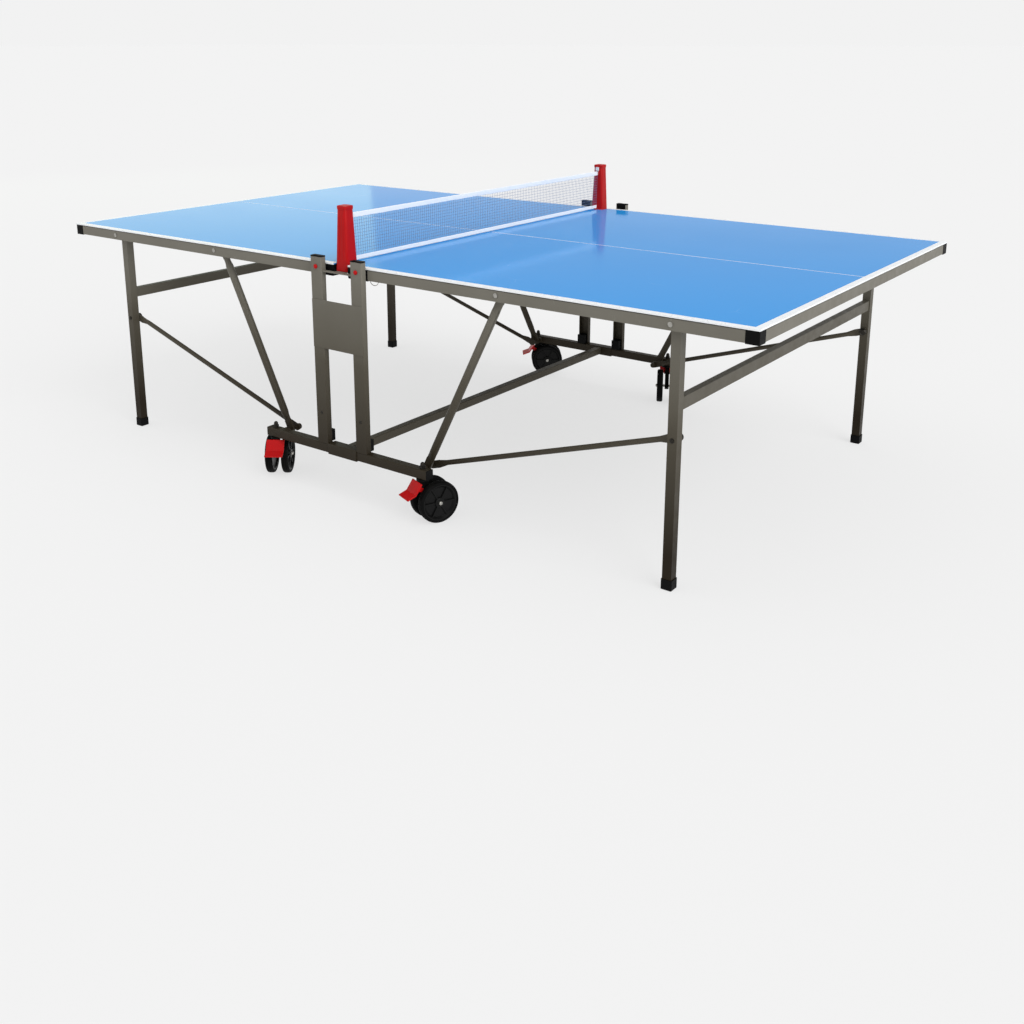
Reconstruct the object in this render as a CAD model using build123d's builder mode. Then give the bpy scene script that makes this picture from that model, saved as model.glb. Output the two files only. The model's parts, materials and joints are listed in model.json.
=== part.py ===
from build123d import *

import os
from math import cos, radians, sin

# Folding ping pong table: two independent halves on a wheeled centre frame.
# Millimetres. The origin is on the floor under the table's centre, +X runs along the table,
# +Y across it and +Z up. The front is the -Y side, the right half the +X side.

os.makedirs("parts", exist_ok=True)

# Playing surface
TOP_LENGTH = 2740
TOP_WIDTH = 1525
TOP_HEIGHT = 760
PANEL_THICK = 4.5
HALF_GAP = 5
HALF_L = TOP_LENGTH / 2
HALF_W = TOP_WIDTH / 2
PANEL_LOW = TOP_HEIGHT - PANEL_THICK
POST_NOTCH_X = 30
POST_NOTCH_Y = 705

# Steel frame under each panel
RAIL_LOW = 722
RAIL_TOP = 753
RAIL_WIDE = 24
RAIL_SKIN = 1.5
RAIL_INSET = 1
RAIL_OUT = HALF_W - RAIL_INSET
RAIL_IN = RAIL_OUT - RAIL_WIDE
LEDGE_INSET = 4.5
CROSS_RAILS_X = (83, 430, 900)
CROSS_RAIL_WIDE = 25
CROSS_RAIL_LOW = 728
CORNER_CAP = 38
CAP_LOW = 720
CAP_TOP = PANEL_LOW - 0.1
INNER_CAP_END = 110
CAP_BORE_IN = 739
CAP_SKIN = 1.5
CROSS_RAIL_CLEAR = 1.6

# Wire loop under the right front rail
WIRE_R = 1
WIRE_Y = 755
WIRE_X = (114, 148)
WIRE_TOP = RAIL_LOW - 0.4
WIRE_DROP = 13

# Fold mechanism, seen from the side as (x, z)
SLIDE_PIVOT = (84, 748)
BRACE_PIVOT = (590, 740)
LEG_PIVOT = (1132, 738)
LINK_PIVOT = (1132, 422)
BASE_PIVOT = (298, 157)
PIN_R = 5
BORE_R = 5.08
WHEEL_BORE_R = 5.02

# Legs
LEG = 28
LEG_SKIN = 1.5
LEG_Y = 714
LEG_FOOT = 4
CROSSBAR = (22, 34)
CROSSBAR_Z = 517
FOOT = 33
FOOT_TALL = 30
WELD_GAP = 0.1

# Braces and links
BRACE_D = 25
BRACE_Y = 722
BRACE_END = (26, 8)
LINK_D = 16
LINK_TUBE_Y = 690
LINK_END_Y = 695.5
LINK_END = (24, 5)
BRACE_STUB_IN = 736
LINK_STUB_IN = 708
KNOB_R = 12
KNOB_TALL = 11
KNOB_OUT = 692

# Pivot bolts through the rails: (pivot, washer face, tip of the nut) as depths from the centre line
BOLT_HEAD = (7, 3.3)
COLLAR_R = 9
NUT = (8.5, 6)
PIVOT_CLEAR = 0.5
PIVOT_BOLTS = (
    (BRACE_PIVOT, BRACE_Y + BRACE_END[1] / 2 + PIVOT_CLEAR, 711),
    (LEG_PIVOT, LEG_Y + LEG / 2 + PIVOT_CLEAR, 693.5),
)

# Centre frame
UPRIGHT_X = SLIDE_PIVOT[0]
UPRIGHT_WIDE = 45
UPRIGHT_IN = 765
UPRIGHT_OUT = 785
UPRIGHT_SKIN = 2
UPRIGHT_TOP = 778
CAP_TALL = 4
CAP_PLUG_LOW = 770
CAP_NOTCH = (15, 12)
SCREW_Z = 275
SCREW_R = 2.5
SCREW_HEAD = (5, 3, 2.5)
LOCK_R = 4.5
LOCK_BORE_R = 4.56
LOCK_PROFILE = ((0, -1.8), (LOCK_R, -1.8), (LOCK_R, 0.3), (7, 0.3), (7, 3.5), (5, 5.5), (0, 6.2))
BASE = 30
BASE_SKIN = 2
BASE_LOW = 142
BASE_OUT = 784
BASE_END = 345
BASE_MID_Y = BASE_OUT - BASE / 2
BASE_MID_Z = BASE_LOW + BASE / 2
BASE_TOP = BASE_LOW + BASE
BOSS_IN = 737.5
STEM_NUT = (9.5, 9)
ACORN = (7, 5)
PLUG = (3, 12)
SLEEVE = 36
SLEEVE_END = 61
CROSS_TUBE = (26, 28)
PLATE = (212, 155)
PLATE_Z = 567.5
PLATE_THICK = 1.6
STOP_TOP = 212
STOP_WIDE = 34
STOP_IN = 745
STOP_LIFT = 3
SHOE = (40, 60)
SHOE_LOW = 708
SHOE_IN = 767.5
SHOE_OUT = 782.4
SHOE_PIN_IN = 740

# Net
POST_Y = 735
POST_LOW = 737
POST_TOP = 937
POST_FOOT = 50
POST_HEAD = 36
POST_SKIN = 3
POST_CORNER = 8
BRACKET_THICK = 4
BRACKET_STRAP = 14
BRACKET_PAD = (36, 50)
BRACKET_PAD_Y = 748
NET_TOP = 912.5
NET_LOW = 764
TAPE_TOP = 16
TAPE_LOW = 13
NET_THICK = 1.2
TAPE_THICK = 3.2
CLIP = (12, 6, 14)
CLIP_Z = 922

# Casters: heading is the direction in which the wheels trail behind the stem
STEM_X = 320
WHEEL_R = 66
WHEEL_WIDE = 24
WHEEL_SPACING = 54
TRAIL = 38
STEM_R = 6
STEM_CLEAR = 0.08
COLLAR = (20, 6.5)
COLLAR_LOW = 135
FORK_WIDE = 16
FORK_HEAD_Z = 126
FORK_HEAD_R = 13
FORK_EAR_R = 9
FORK_HUB_R = 14
AXLE_LENGTH = 90
HUB_BOSS = (8, 12, 5)
PEDAL_PIVOT = (-10, 108)
PEDAL_OUTLINE = ((-19, 132), (-40, 101), (-66, 91))
PEDAL_WIDE = 60
PEDAL_THICK = 4
PEDAL_PIN_R = 4
PEDAL_BORE_R = 4.07
CHEEK_TIP = (-24, 114)
CHEEK_R = 7
CHEEK_CLEAR = 0.4
CASTERS = {
    "front_left": (-STEM_X, -BASE_MID_Y, 125),
    "front_right": (STEM_X, -BASE_MID_Y, 68),
    "rear_left": (-STEM_X, BASE_MID_Y, 38),
    "rear_right": (STEM_X, BASE_MID_Y, 298),
}
SIDES = {"front": -1, "rear": 1}
HALVES = {"right": 1, "left": -1}


def write(part, name):
    """Label a finished piece and write its STEP file."""
    part.label = name
    export_step(part, f"parts/{name}.step")


def write_halves(part, name):
    """Write a piece of the right half, and its mirror image for the left half."""
    write(part, f"right_{name}")
    write(mirror(part, about=Plane.YZ), f"left_{name}")


def front_plane(depth):
    """Vertical plane that faces the front, depth millimetres forward of the table's centre."""
    return Plane.XZ.offset(depth)


def turned_pin(pivot, profile):
    """Solid of revolution about the front-to-rear axis through pivot, from (radius, depth) points."""
    x, z = pivot
    with BuildPart() as pin:
        with BuildSketch(Plane((x, 0, z), x_dir=(1, 0, 0), z_dir=(0, 0, 1))):
            with BuildLine():
                Polyline([(radius, -depth) for radius, depth in profile], close=True)
            make_face()
        revolve(axis=Axis((x, 0, z), (0, 1, 0)))
    return pin.part


def strut(low, high, tube_y, tube_d, end_y, end_size):
    """Round front tube between two (x, z) pivots, pressed flat round each pivot."""
    width, thick = end_size
    run = Vector(high[0] - low[0], 0, high[1] - low[1])
    flat = 1.3 * width
    blend = 1.1 * width
    across = (0, 1, 0)
    with BuildPart() as bar:
        for pivot, along in ((low, run.normalized()), (high, -run.normalized())):
            start = Vector(pivot[0], -end_y - thick / 2, pivot[1])
            with BuildSketch(Plane(start, x_dir=along, z_dir=across)):
                Circle(width / 2)
                Rectangle(flat, width, align=(Align.MIN, Align.CENTER))
            extrude(amount=thick)
            pressed = Vector(pivot[0], -end_y, pivot[1]) + along * flat
            round_end = Vector(pivot[0], -tube_y, pivot[1]) + along * (flat + blend)
            with BuildSketch(Plane(pressed, x_dir=across, z_dir=along)):
                RectangleRounded(thick, width, thick * 0.4)
            with BuildSketch(Plane(round_end, x_dir=across, z_dir=along)):
                Circle(tube_d / 2)
            loft()
        start = Vector(low[0], -tube_y, low[1]) + run.normalized() * (flat + blend)
        with BuildSketch(Plane(start, x_dir=across, z_dir=run.normalized())):
            Circle(tube_d / 2)
        extrude(amount=run.length - 2 * (flat + blend))
        with Locations(front_plane(end_y)):
            with Locations(high):
                Cylinder(BORE_R, 2 * thick, mode=Mode.SUBTRACT)
    return bar.part


# ---------------------------------------------------------------- centre frame

for side, sign in SIDES.items():
    with BuildPart() as base_tube:
        with BuildSketch(Plane.YZ.offset(-BASE_END)):
            with Locations((sign * BASE_MID_Y, BASE_MID_Z)):
                RectangleRounded(BASE, BASE, 3)
                Rectangle(BASE - 2 * BASE_SKIN, BASE - 2 * BASE_SKIN, mode=Mode.SUBTRACT)
        extrude(amount=2 * BASE_END)
        boss_depth = BASE_OUT - BASE - BOSS_IN
        for x in (-BASE_PIVOT[0], BASE_PIVOT[0]):
            with BuildSketch(front_plane(-sign * (BASE_OUT - BASE - boss_depth / 2))):
                with Locations((x, BASE_PIVOT[1])):
                    Circle(KNOB_R)
            extrude(amount=boss_depth / 2, both=True)
        with Locations((-STEM_X, sign * BASE_MID_Y, BASE_LOW), (STEM_X, sign * BASE_MID_Y, BASE_LOW)):
            Cylinder(STEM_R + STEM_CLEAR, 2 * BASE_SKIN + 2, mode=Mode.SUBTRACT)
    write(base_tube.part, f"{side}_base_tube")

with BuildPart() as saddle_sleeves:
    for sign in SIDES.values():
        with BuildSketch(Plane.YZ.offset(-SLEEVE_END)):
            with Locations((sign * BASE_MID_Y, BASE_MID_Z)):
                RectangleRounded(SLEEVE, SLEEVE, 3)
                RectangleRounded(BASE, BASE, 3, mode=Mode.SUBTRACT)
        extrude(amount=2 * SLEEVE_END)
write(saddle_sleeves.part, "saddle_sleeves")

with BuildPart() as cross_tube:
    reach = BASE_MID_Y - SLEEVE / 2
    with BuildSketch(front_plane(-reach)):
        with Locations((0, BASE_MID_Z)):
            RectangleRounded(*CROSS_TUBE, 3)
            Rectangle(CROSS_TUBE[0] - 2 * BASE_SKIN, CROSS_TUBE[1] - 2 * BASE_SKIN, mode=Mode.SUBTRACT)
    extrude(amount=2 * reach)
write(cross_tube.part, "cross_tube")

upright_tall = UPRIGHT_TOP - BASE_TOP
for side, sign in SIDES.items():
    for half, way in HALVES.items():
        x = way * UPRIGHT_X
        inner, outer = sorted((sign * UPRIGHT_IN, sign * UPRIGHT_OUT))
        with BuildPart() as upright:
            with BuildSketch(Plane.XY.offset(BASE_TOP)):
                with Locations((x, (inner + outer) / 2)):
                    RectangleRounded(UPRIGHT_WIDE, UPRIGHT_OUT - UPRIGHT_IN, 1.5)
                with Locations((x, (inner + outer) / 2 - sign * UPRIGHT_SKIN)):
                    Rectangle(
                        UPRIGHT_WIDE - 2 * UPRIGHT_SKIN,
                        UPRIGHT_OUT - UPRIGHT_IN,
                        mode=Mode.SUBTRACT,
                    )
            extrude(amount=upright_tall)
            with Locations(Plane.XZ):
                with Locations((x, SLIDE_PIVOT[1], -sign * UPRIGHT_OUT)):
                    Cylinder(LOCK_BORE_R, 5 * UPRIGHT_SKIN, mode=Mode.SUBTRACT)
                with Locations((x, SCREW_Z, -sign * UPRIGHT_OUT)):
                    Cylinder(SCREW_R, 5 * UPRIGHT_SKIN, mode=Mode.SUBTRACT)
        write(upright.part, f"{side}_{half}_upright")

with BuildPart() as side_plates:
    with BuildSketch(front_plane(UPRIGHT_OUT)):
        with Locations((0, PLATE_Z)):
            RectangleRounded(*PLATE, 2)
    extrude(amount=PLATE_THICK)
    mirror(about=Plane.XZ)
write(side_plates.part, "side_plates")

with BuildPart() as upright_caps:
    with BuildSketch(Plane.XY.offset(CAP_PLUG_LOW)):
        with Locations((UPRIGHT_X, -(UPRIGHT_IN + SHOE_OUT) / 2)):
            Rectangle(SHOE[0], SHOE_OUT - UPRIGHT_IN)
    extrude(amount=UPRIGHT_TOP - CAP_PLUG_LOW)
    with BuildSketch(Plane.XY.offset(UPRIGHT_TOP)):
        with Locations((UPRIGHT_X, -(UPRIGHT_IN + UPRIGHT_OUT) / 2)):
            RectangleRounded(UPRIGHT_WIDE, UPRIGHT_OUT - UPRIGHT_IN, 1.5)
    extrude(amount=CAP_TALL)
    with Locations((UPRIGHT_X, -UPRIGHT_OUT, UPRIGHT_TOP + CAP_TALL)):
        Box(CAP_NOTCH[0], 3 * UPRIGHT_SKIN, CAP_NOTCH[1], mode=Mode.SUBTRACT)
    mirror(about=Plane.XZ)
    mirror(about=Plane.YZ)
write(upright_caps.part, "upright_caps")

with BuildPart() as stop_blocks:
    with BuildSketch(Plane.XY.offset(BASE_TOP + STOP_LIFT)):
        with Locations((UPRIGHT_X, -(SHOE_OUT + STOP_IN) / 2)):
            RectangleRounded(STOP_WIDE, SHOE_OUT - STOP_IN, 2)
    extrude(amount=STOP_TOP - BASE_TOP - STOP_LIFT)
    mirror(about=Plane.XZ)
    mirror(about=Plane.YZ)
write(stop_blocks.part, "stop_blocks")

with BuildPart() as frame_fasteners:
    with BuildSketch(Plane.XY.offset(BASE_TOP)):
        with Locations((STEM_X, -BASE_MID_Y)):
            RegularPolygon(STEM_NUT[0], 6)
    extrude(amount=STEM_NUT[1])
    with Locations((STEM_X, -BASE_MID_Y, BASE_TOP + STEM_NUT[1])):
        Cylinder(*ACORN, align=(Align.CENTER, Align.CENTER, Align.MIN))
        with Locations((0, 0, ACORN[1])):
            Sphere(ACORN[0])
    with Locations(front_plane(UPRIGHT_OUT - UPRIGHT_SKIN)):
        with Locations((UPRIGHT_X, SCREW_Z)):
            Cylinder(SCREW_R, UPRIGHT_SKIN, align=(Align.CENTER, Align.CENTER, Align.MIN))
            with Locations((0, 0, UPRIGHT_SKIN)):
                Cone(*SCREW_HEAD, align=(Align.CENTER, Align.CENTER, Align.MIN))
    mirror(about=Plane.XZ)
    mirror(about=Plane.YZ)
write(frame_fasteners.part, "frame_fasteners")

with BuildPart() as base_end_caps:
    with BuildSketch(Plane.YZ.offset(BASE_END)):
        with Locations((-BASE_MID_Y, BASE_MID_Z)):
            RectangleRounded(BASE, BASE, 3)
    extrude(amount=PLUG[0])
    with BuildSketch(Plane.YZ.offset(BASE_END - PLUG[1])):
        with Locations((-BASE_MID_Y, BASE_MID_Z)):
            Rectangle(BASE - 2 * BASE_SKIN, BASE - 2 * BASE_SKIN)
    extrude(amount=PLUG[1])
    mirror(about=Plane.XZ)
    mirror(about=Plane.YZ)
write(base_end_caps.part, "base_end_caps")

# ---------------------------------------------------------------- net and posts

for side, sign in SIDES.items():
    with BuildPart() as net_post:
        for inset, mode in ((0, Mode.ADD), (POST_SKIN, Mode.SUBTRACT)):
            for width, z in ((POST_FOOT, POST_LOW), (POST_HEAD, POST_TOP - 1.5 * inset)):
                with BuildSketch(Plane.XY.offset(z)):
                    with Locations((0, sign * POST_Y)):
                        RectangleRounded(width - 2 * inset, width - 2 * inset, POST_CORNER - inset)
            loft(mode=mode)
    write(net_post.part, f"{side}_net_post")


def net_edge(z):
    """Distance from the centre line to the post's inner face at height z."""
    half = POST_FOOT + (POST_HEAD - POST_FOOT) * (z - POST_LOW) / (POST_TOP - POST_LOW)
    return POST_Y - half / 2


def net_band(low, high):
    """Corners of an upright band that reaches from one post to the other."""
    top, bottom = net_edge(high), net_edge(low)
    return [(-bottom, low), (bottom, low), (top, high), (-top, high)]


with BuildPart() as net:
    with BuildSketch(Plane.YZ.offset(-NET_THICK / 2)):
        with BuildLine():
            Polyline(net_band(NET_LOW + TAPE_LOW, NET_TOP - TAPE_TOP), close=True)
        make_face()
    extrude(amount=NET_THICK)
write(net.part, "net")

with BuildPart() as net_tapes:
    for low, high in ((NET_LOW, NET_LOW + TAPE_LOW), (NET_TOP - TAPE_TOP, NET_TOP)):
        with BuildSketch(Plane.YZ.offset(-TAPE_THICK / 2)):
            with BuildLine():
                Polyline(net_band(low, high), close=True)
            make_face()
        extrude(amount=TAPE_THICK)
write(net_tapes.part, "net_tapes")

with BuildPart() as net_brackets:
    strap = UPRIGHT_X - UPRIGHT_WIDE / 2
    with BuildSketch(Plane.XY.offset(POST_LOW - BRACKET_THICK)):
        with Locations((0, -(UPRIGHT_IN + UPRIGHT_OUT) / 2)):
            Rectangle(2 * strap, BRACKET_STRAP)
        with Locations((0, -BRACKET_PAD_Y)):
            Rectangle(*BRACKET_PAD)
    extrude(amount=BRACKET_THICK)
    mirror(about=Plane.XZ)
write(net_brackets.part, "net_brackets")

with BuildPart() as post_clips:
    with Locations((0, -net_edge(CLIP_Z - CLIP[2] / 2), CLIP_Z)):
        Box(*CLIP, align=(Align.CENTER, Align.MIN, Align.CENTER))
    mirror(about=Plane.XZ)
write(post_clips.part, "post_clips")

# ---------------------------------------------------------------- casters

for place, (x, y, heading) in CASTERS.items():
    trail_way = Vector(cos(radians(heading)), sin(radians(heading)), 0)
    axle_way = Vector(trail_way.Y, -trail_way.X, 0)
    side_view = Plane((x, y, 0), x_dir=trail_way, z_dir=axle_way)

    with BuildPart() as fork:
        with BuildSketch(side_view):
            with Locations((0, FORK_HEAD_Z)):
                Circle(FORK_HEAD_R)
            with Locations(PEDAL_PIVOT):
                Circle(FORK_EAR_R)
            with Locations((TRAIL, WHEEL_R)):
                Circle(FORK_HUB_R)
            make_hull()
        extrude(amount=FORK_WIDE / 2, both=True)
        with BuildSketch(Plane((x, y, COLLAR_LOW))):
            Circle(COLLAR[0])
        extrude(amount=COLLAR[1])
        with BuildSketch(Plane((x, y, COLLAR_LOW))):
            Circle(STEM_R)
        extrude(amount=BASE_TOP - 2 * BASE_SKIN - COLLAR_LOW)
        with Locations(side_view):
            with Locations((TRAIL, WHEEL_R)):
                Cylinder(BORE_R, 2 * FORK_WIDE, mode=Mode.SUBTRACT)
            with Locations(PEDAL_PIVOT):
                Cylinder(PEDAL_BORE_R, 2 * FORK_WIDE, mode=Mode.SUBTRACT)
    write(fork.part, f"{place}_caster_fork")

    with BuildPart() as wheels:
        hub_x = WHEEL_SPACING / 2 - WHEEL_WIDE / 2
        rim_x = WHEEL_SPACING / 2 + WHEEL_WIDE / 2
        axle_centre = Vector(x, y, WHEEL_R) + trail_way * TRAIL
        profile_plane = Plane(axle_centre, x_dir=axle_way, z_dir=trail_way)
        with BuildSketch(profile_plane):
            with BuildLine():
                Polyline(
                    (hub_x, WHEEL_BORE_R),
                    (rim_x, WHEEL_BORE_R),
                    (rim_x, PIN_R + HUB_BOSS[0]),
                    (rim_x - HUB_BOSS[2], PIN_R + HUB_BOSS[1]),
                    (rim_x - HUB_BOSS[2], 0.68 * WHEEL_R),
                    (rim_x - 1, 0.74 * WHEEL_R),
                    (rim_x, 0.78 * WHEEL_R),
                    (rim_x, WHEEL_R - 7),
                    (rim_x - 3, WHEEL_R - 2),
                    (rim_x - 8, WHEEL_R),
                    (hub_x + 8, WHEEL_R),
                    (hub_x + 3, WHEEL_R - 2),
                    (hub_x, WHEEL_R - 7),
                    close=True,
                )
            make_face()
        revolve(axis=Axis(axle_centre, axle_way))
        mirror(about=Plane(axle_centre, x_dir=trail_way, z_dir=axle_way))
        with BuildSketch(Plane(axle_centre, x_dir=trail_way, z_dir=axle_way)):
            Circle(PIN_R)
        extrude(amount=AXLE_LENGTH / 2, both=True)
    write(wheels.part, f"{place}_caster_wheels")

    with BuildPart() as pedal:
        with BuildSketch(side_view):
            with BuildLine():
                Polyline(PEDAL_OUTLINE)
                offset(amount=PEDAL_THICK / 2)
            make_face()
        extrude(amount=PEDAL_WIDE / 2, both=True)
        cheek_gap = FORK_WIDE / 2 + CHEEK_CLEAR
        for start in (cheek_gap, -cheek_gap - PEDAL_THICK):
            with BuildSketch(side_view.offset(start)):
                with Locations(PEDAL_PIVOT, CHEEK_TIP):
                    Circle(CHEEK_R)
                make_hull()
            extrude(amount=PEDAL_THICK)
        with Locations(side_view):
            with Locations(PEDAL_PIVOT):
                Cylinder(PEDAL_PIN_R, 2 * cheek_gap + 1)
    write(pedal.part, f"{place}_brake_pedal")

# ---------------------------------------------------------------- lock buttons

for side, sign in SIDES.items():
    for half, way in HALVES.items():
        with BuildPart() as lock_button:
            with BuildSketch(Plane((way * UPRIGHT_X, sign * UPRIGHT_OUT, SLIDE_PIVOT[1]), z_dir=(0, 0, 1))):
                with BuildLine():
                    Polyline([(radius, sign * out) for radius, out in LOCK_PROFILE], close=True)
                make_face()
            revolve(axis=Axis((way * UPRIGHT_X, 0, SLIDE_PIVOT[1]), (0, 1, 0)))
        write(lock_button.part, f"{side}_{half}_lock_button")

# ---------------------------------------------------------------- halves

with BuildPart() as panel:
    with BuildSketch(Plane.XY.offset(PANEL_LOW)):
        with Locations((HALF_GAP, 0)):
            Rectangle(HALF_L - HALF_GAP, TOP_WIDTH, align=(Align.MIN, Align.CENTER))
        with Locations((0, HALF_W), (0, -HALF_W)):
            Rectangle(2 * POST_NOTCH_X, 2 * (HALF_W - POST_NOTCH_Y), mode=Mode.SUBTRACT)
    extrude(amount=PANEL_THICK)
write_halves(panel.part, "top_panel")

rail_tall = RAIL_TOP - RAIL_LOW
rail_mid_z = (RAIL_TOP + RAIL_LOW) / 2
ledge_wide = RAIL_WIDE - 2 * LEDGE_INSET
side_rail_length = HALF_L - CORNER_CAP - INNER_CAP_END

with BuildPart() as side_rails:
    with BuildSketch(Plane.YZ.offset(INNER_CAP_END)):
        with Locations((-(RAIL_OUT + RAIL_IN) / 2, rail_mid_z)):
            Rectangle(RAIL_WIDE, rail_tall)
        with Locations((-(RAIL_OUT + RAIL_IN) / 2, RAIL_TOP)):
            Rectangle(ledge_wide, PANEL_LOW - RAIL_TOP, align=(Align.CENTER, Align.MIN))
        with Locations((-(RAIL_OUT + RAIL_IN) / 2, rail_mid_z)):
            Rectangle(RAIL_WIDE - 2 * RAIL_SKIN, rail_tall - 2 * RAIL_SKIN, mode=Mode.SUBTRACT)
    extrude(amount=side_rail_length)
    with Locations(front_plane((RAIL_OUT + RAIL_IN) / 2)):
        with Locations(BRACE_PIVOT, LEG_PIVOT):
            Cylinder(PIN_R, 2 * RAIL_WIDE, mode=Mode.SUBTRACT)
    mirror(about=Plane.XZ)
write_halves(side_rails.part, "side_rails")

end_rail_x = HALF_L - RAIL_INSET - RAIL_WIDE / 2
end_reach = HALF_W - CORNER_CAP
with BuildPart() as end_rail:
    with BuildSketch(front_plane(-end_reach)):
        with Locations((end_rail_x, rail_mid_z)):
            Rectangle(RAIL_WIDE, rail_tall)
        with Locations((end_rail_x, RAIL_TOP)):
            Rectangle(ledge_wide, PANEL_LOW - RAIL_TOP, align=(Align.CENTER, Align.MIN))
        with Locations((end_rail_x, rail_mid_z)):
            Rectangle(RAIL_WIDE - 2 * RAIL_SKIN, rail_tall - 2 * RAIL_SKIN, mode=Mode.SUBTRACT)
    extrude(amount=2 * end_reach)
write_halves(end_rail.part, "end_rail")

cross_rail_tall = PANEL_LOW - CROSS_RAIL_LOW
with BuildPart() as cross_rails:
    reach = RAIL_IN - CROSS_RAIL_CLEAR
    with BuildSketch(front_plane(-reach)):
        with Locations([(x, CROSS_RAIL_LOW + cross_rail_tall / 2) for x in CROSS_RAILS_X]):
            Rectangle(CROSS_RAIL_WIDE, cross_rail_tall)
            Rectangle(
                CROSS_RAIL_WIDE - 2 * RAIL_SKIN,
                cross_rail_tall - 2 * RAIL_SKIN,
                mode=Mode.SUBTRACT,
            )
    extrude(amount=2 * reach)
write_halves(cross_rails.part, "cross_rails")

with BuildPart() as rail_caps:
    with BuildSketch(Plane.XY.offset(CAP_LOW)):
        with Locations((HALF_L, -HALF_W)):
            RectangleRounded(CORNER_CAP, CORNER_CAP, 3, align=(Align.MAX, Align.MIN))
    extrude(amount=CAP_TOP - CAP_LOW)
    with BuildSketch(front_plane(HALF_W)):
        with Locations(((POST_NOTCH_X + INNER_CAP_END) / 2, (CAP_LOW + CAP_TOP) / 2)):
            RectangleRounded(INNER_CAP_END - POST_NOTCH_X, CAP_TOP - CAP_LOW, 5)
            Rectangle(
                (INNER_CAP_END - POST_NOTCH_X) / 2,
                CAP_TOP - CAP_LOW,
                align=(Align.MIN, Align.CENTER),
            )
    extrude(amount=-(HALF_W - RAIL_IN + CAP_SKIN))
    with Locations(front_plane(HALF_W)):
        with Locations(SLIDE_PIVOT):
            Cylinder(BORE_R, 2 * (HALF_W - CAP_BORE_IN), mode=Mode.SUBTRACT)
    mirror(about=Plane.XZ)
write_halves(rail_caps.part, "rail_caps")

with BuildPart() as slide_shoes:
    with BuildSketch(Plane.XY.offset(SHOE_LOW)):
        with Locations((UPRIGHT_X, -(SHOE_IN + SHOE_OUT) / 2)):
            Rectangle(SHOE[0], SHOE_OUT - SHOE_IN)
    extrude(amount=SHOE[1])
    with BuildSketch(front_plane(SHOE_PIN_IN)):
        with Locations(SLIDE_PIVOT):
            Circle(PIN_R)
    extrude(amount=SHOE_IN - SHOE_PIN_IN)
    mirror(about=Plane.XZ)
write_halves(slide_shoes.part, "slide_shoes")

with BuildPart() as leg_frame:
    with BuildSketch(front_plane(LEG_Y)):
        with Locations((LEG_PIVOT[0], LEG_FOOT)):
            Rectangle(LEG, LEG_PIVOT[1] - LEG_FOOT, align=(Align.CENTER, Align.MIN))
        with Locations(LEG_PIVOT):
            Circle(LEG / 2)
    extrude(amount=LEG / 2, both=True)
    with Locations((LEG_PIVOT[0], -LEG_Y, LEG_FOOT)):
        Box(
            LEG - 2 * LEG_SKIN,
            LEG - 2 * LEG_SKIN,
            LEG_PIVOT[1] - LEG_FOOT - LEG,
            align=(Align.CENTER, Align.CENTER, Align.MIN),
            mode=Mode.SUBTRACT,
        )
    with Locations(front_plane(LEG_Y)):
        with Locations(LEG_PIVOT):
            Cylinder(BORE_R, 2 * LEG, mode=Mode.SUBTRACT)
        with Locations(LINK_PIVOT):
            Cylinder(PIN_R, 2 * LEG, mode=Mode.SUBTRACT)
    mirror(about=Plane.XZ)
    reach = LEG_Y - LEG / 2 - WELD_GAP
    with BuildSketch(front_plane(-reach)):
        with Locations((LEG_PIVOT[0], CROSSBAR_Z)):
            Rectangle(*CROSSBAR)
            Rectangle(CROSSBAR[0] - 2 * LEG_SKIN, CROSSBAR[1] - 2 * LEG_SKIN, mode=Mode.SUBTRACT)
    extrude(amount=2 * reach)
write_halves(leg_frame.part, "leg_frame")

with BuildPart() as foot_caps:
    with BuildSketch(Plane.XY):
        with Locations((LEG_PIVOT[0], -LEG_Y)):
            RectangleRounded(FOOT, FOOT, 3)
    extrude(amount=FOOT_TALL)
    chamfer(foot_caps.faces().sort_by(Axis.Z)[0].edges(), 1.5)
    with Locations((LEG_PIVOT[0], -LEG_Y, LEG_FOOT)):
        Box(LEG, LEG, FOOT_TALL, align=(Align.CENTER, Align.CENTER, Align.MIN), mode=Mode.SUBTRACT)
    mirror(about=Plane.XZ)
write_halves(foot_caps.part, "foot_caps")

with BuildPart() as braces:
    add(strut(BASE_PIVOT, BRACE_PIVOT, BRACE_Y, BRACE_D, BRACE_Y, BRACE_END))
    with BuildSketch(front_plane(BRACE_Y)):
        with Locations(BASE_PIVOT):
            Circle(PIN_R + 1)
    extrude(amount=BRACE_STUB_IN - BRACE_Y)
    mirror(about=Plane.XZ)
write_halves(braces.part, "braces")

with BuildPart() as links:
    add(strut(BASE_PIVOT, LINK_PIVOT, LINK_TUBE_Y, LINK_D, LINK_END_Y, LINK_END))
    with BuildSketch(front_plane(LINK_END_Y)):
        with Locations(BASE_PIVOT):
            Circle(PIN_R + 1)
    extrude(amount=LINK_STUB_IN - LINK_END_Y)
    with BuildSketch(front_plane(LINK_END_Y - 2)):
        with Locations(BASE_PIVOT):
            Circle(KNOB_R)
    extrude(amount=-KNOB_TALL, taper=12)
    mirror(about=Plane.XZ)
write_halves(links.part, "links")

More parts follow.
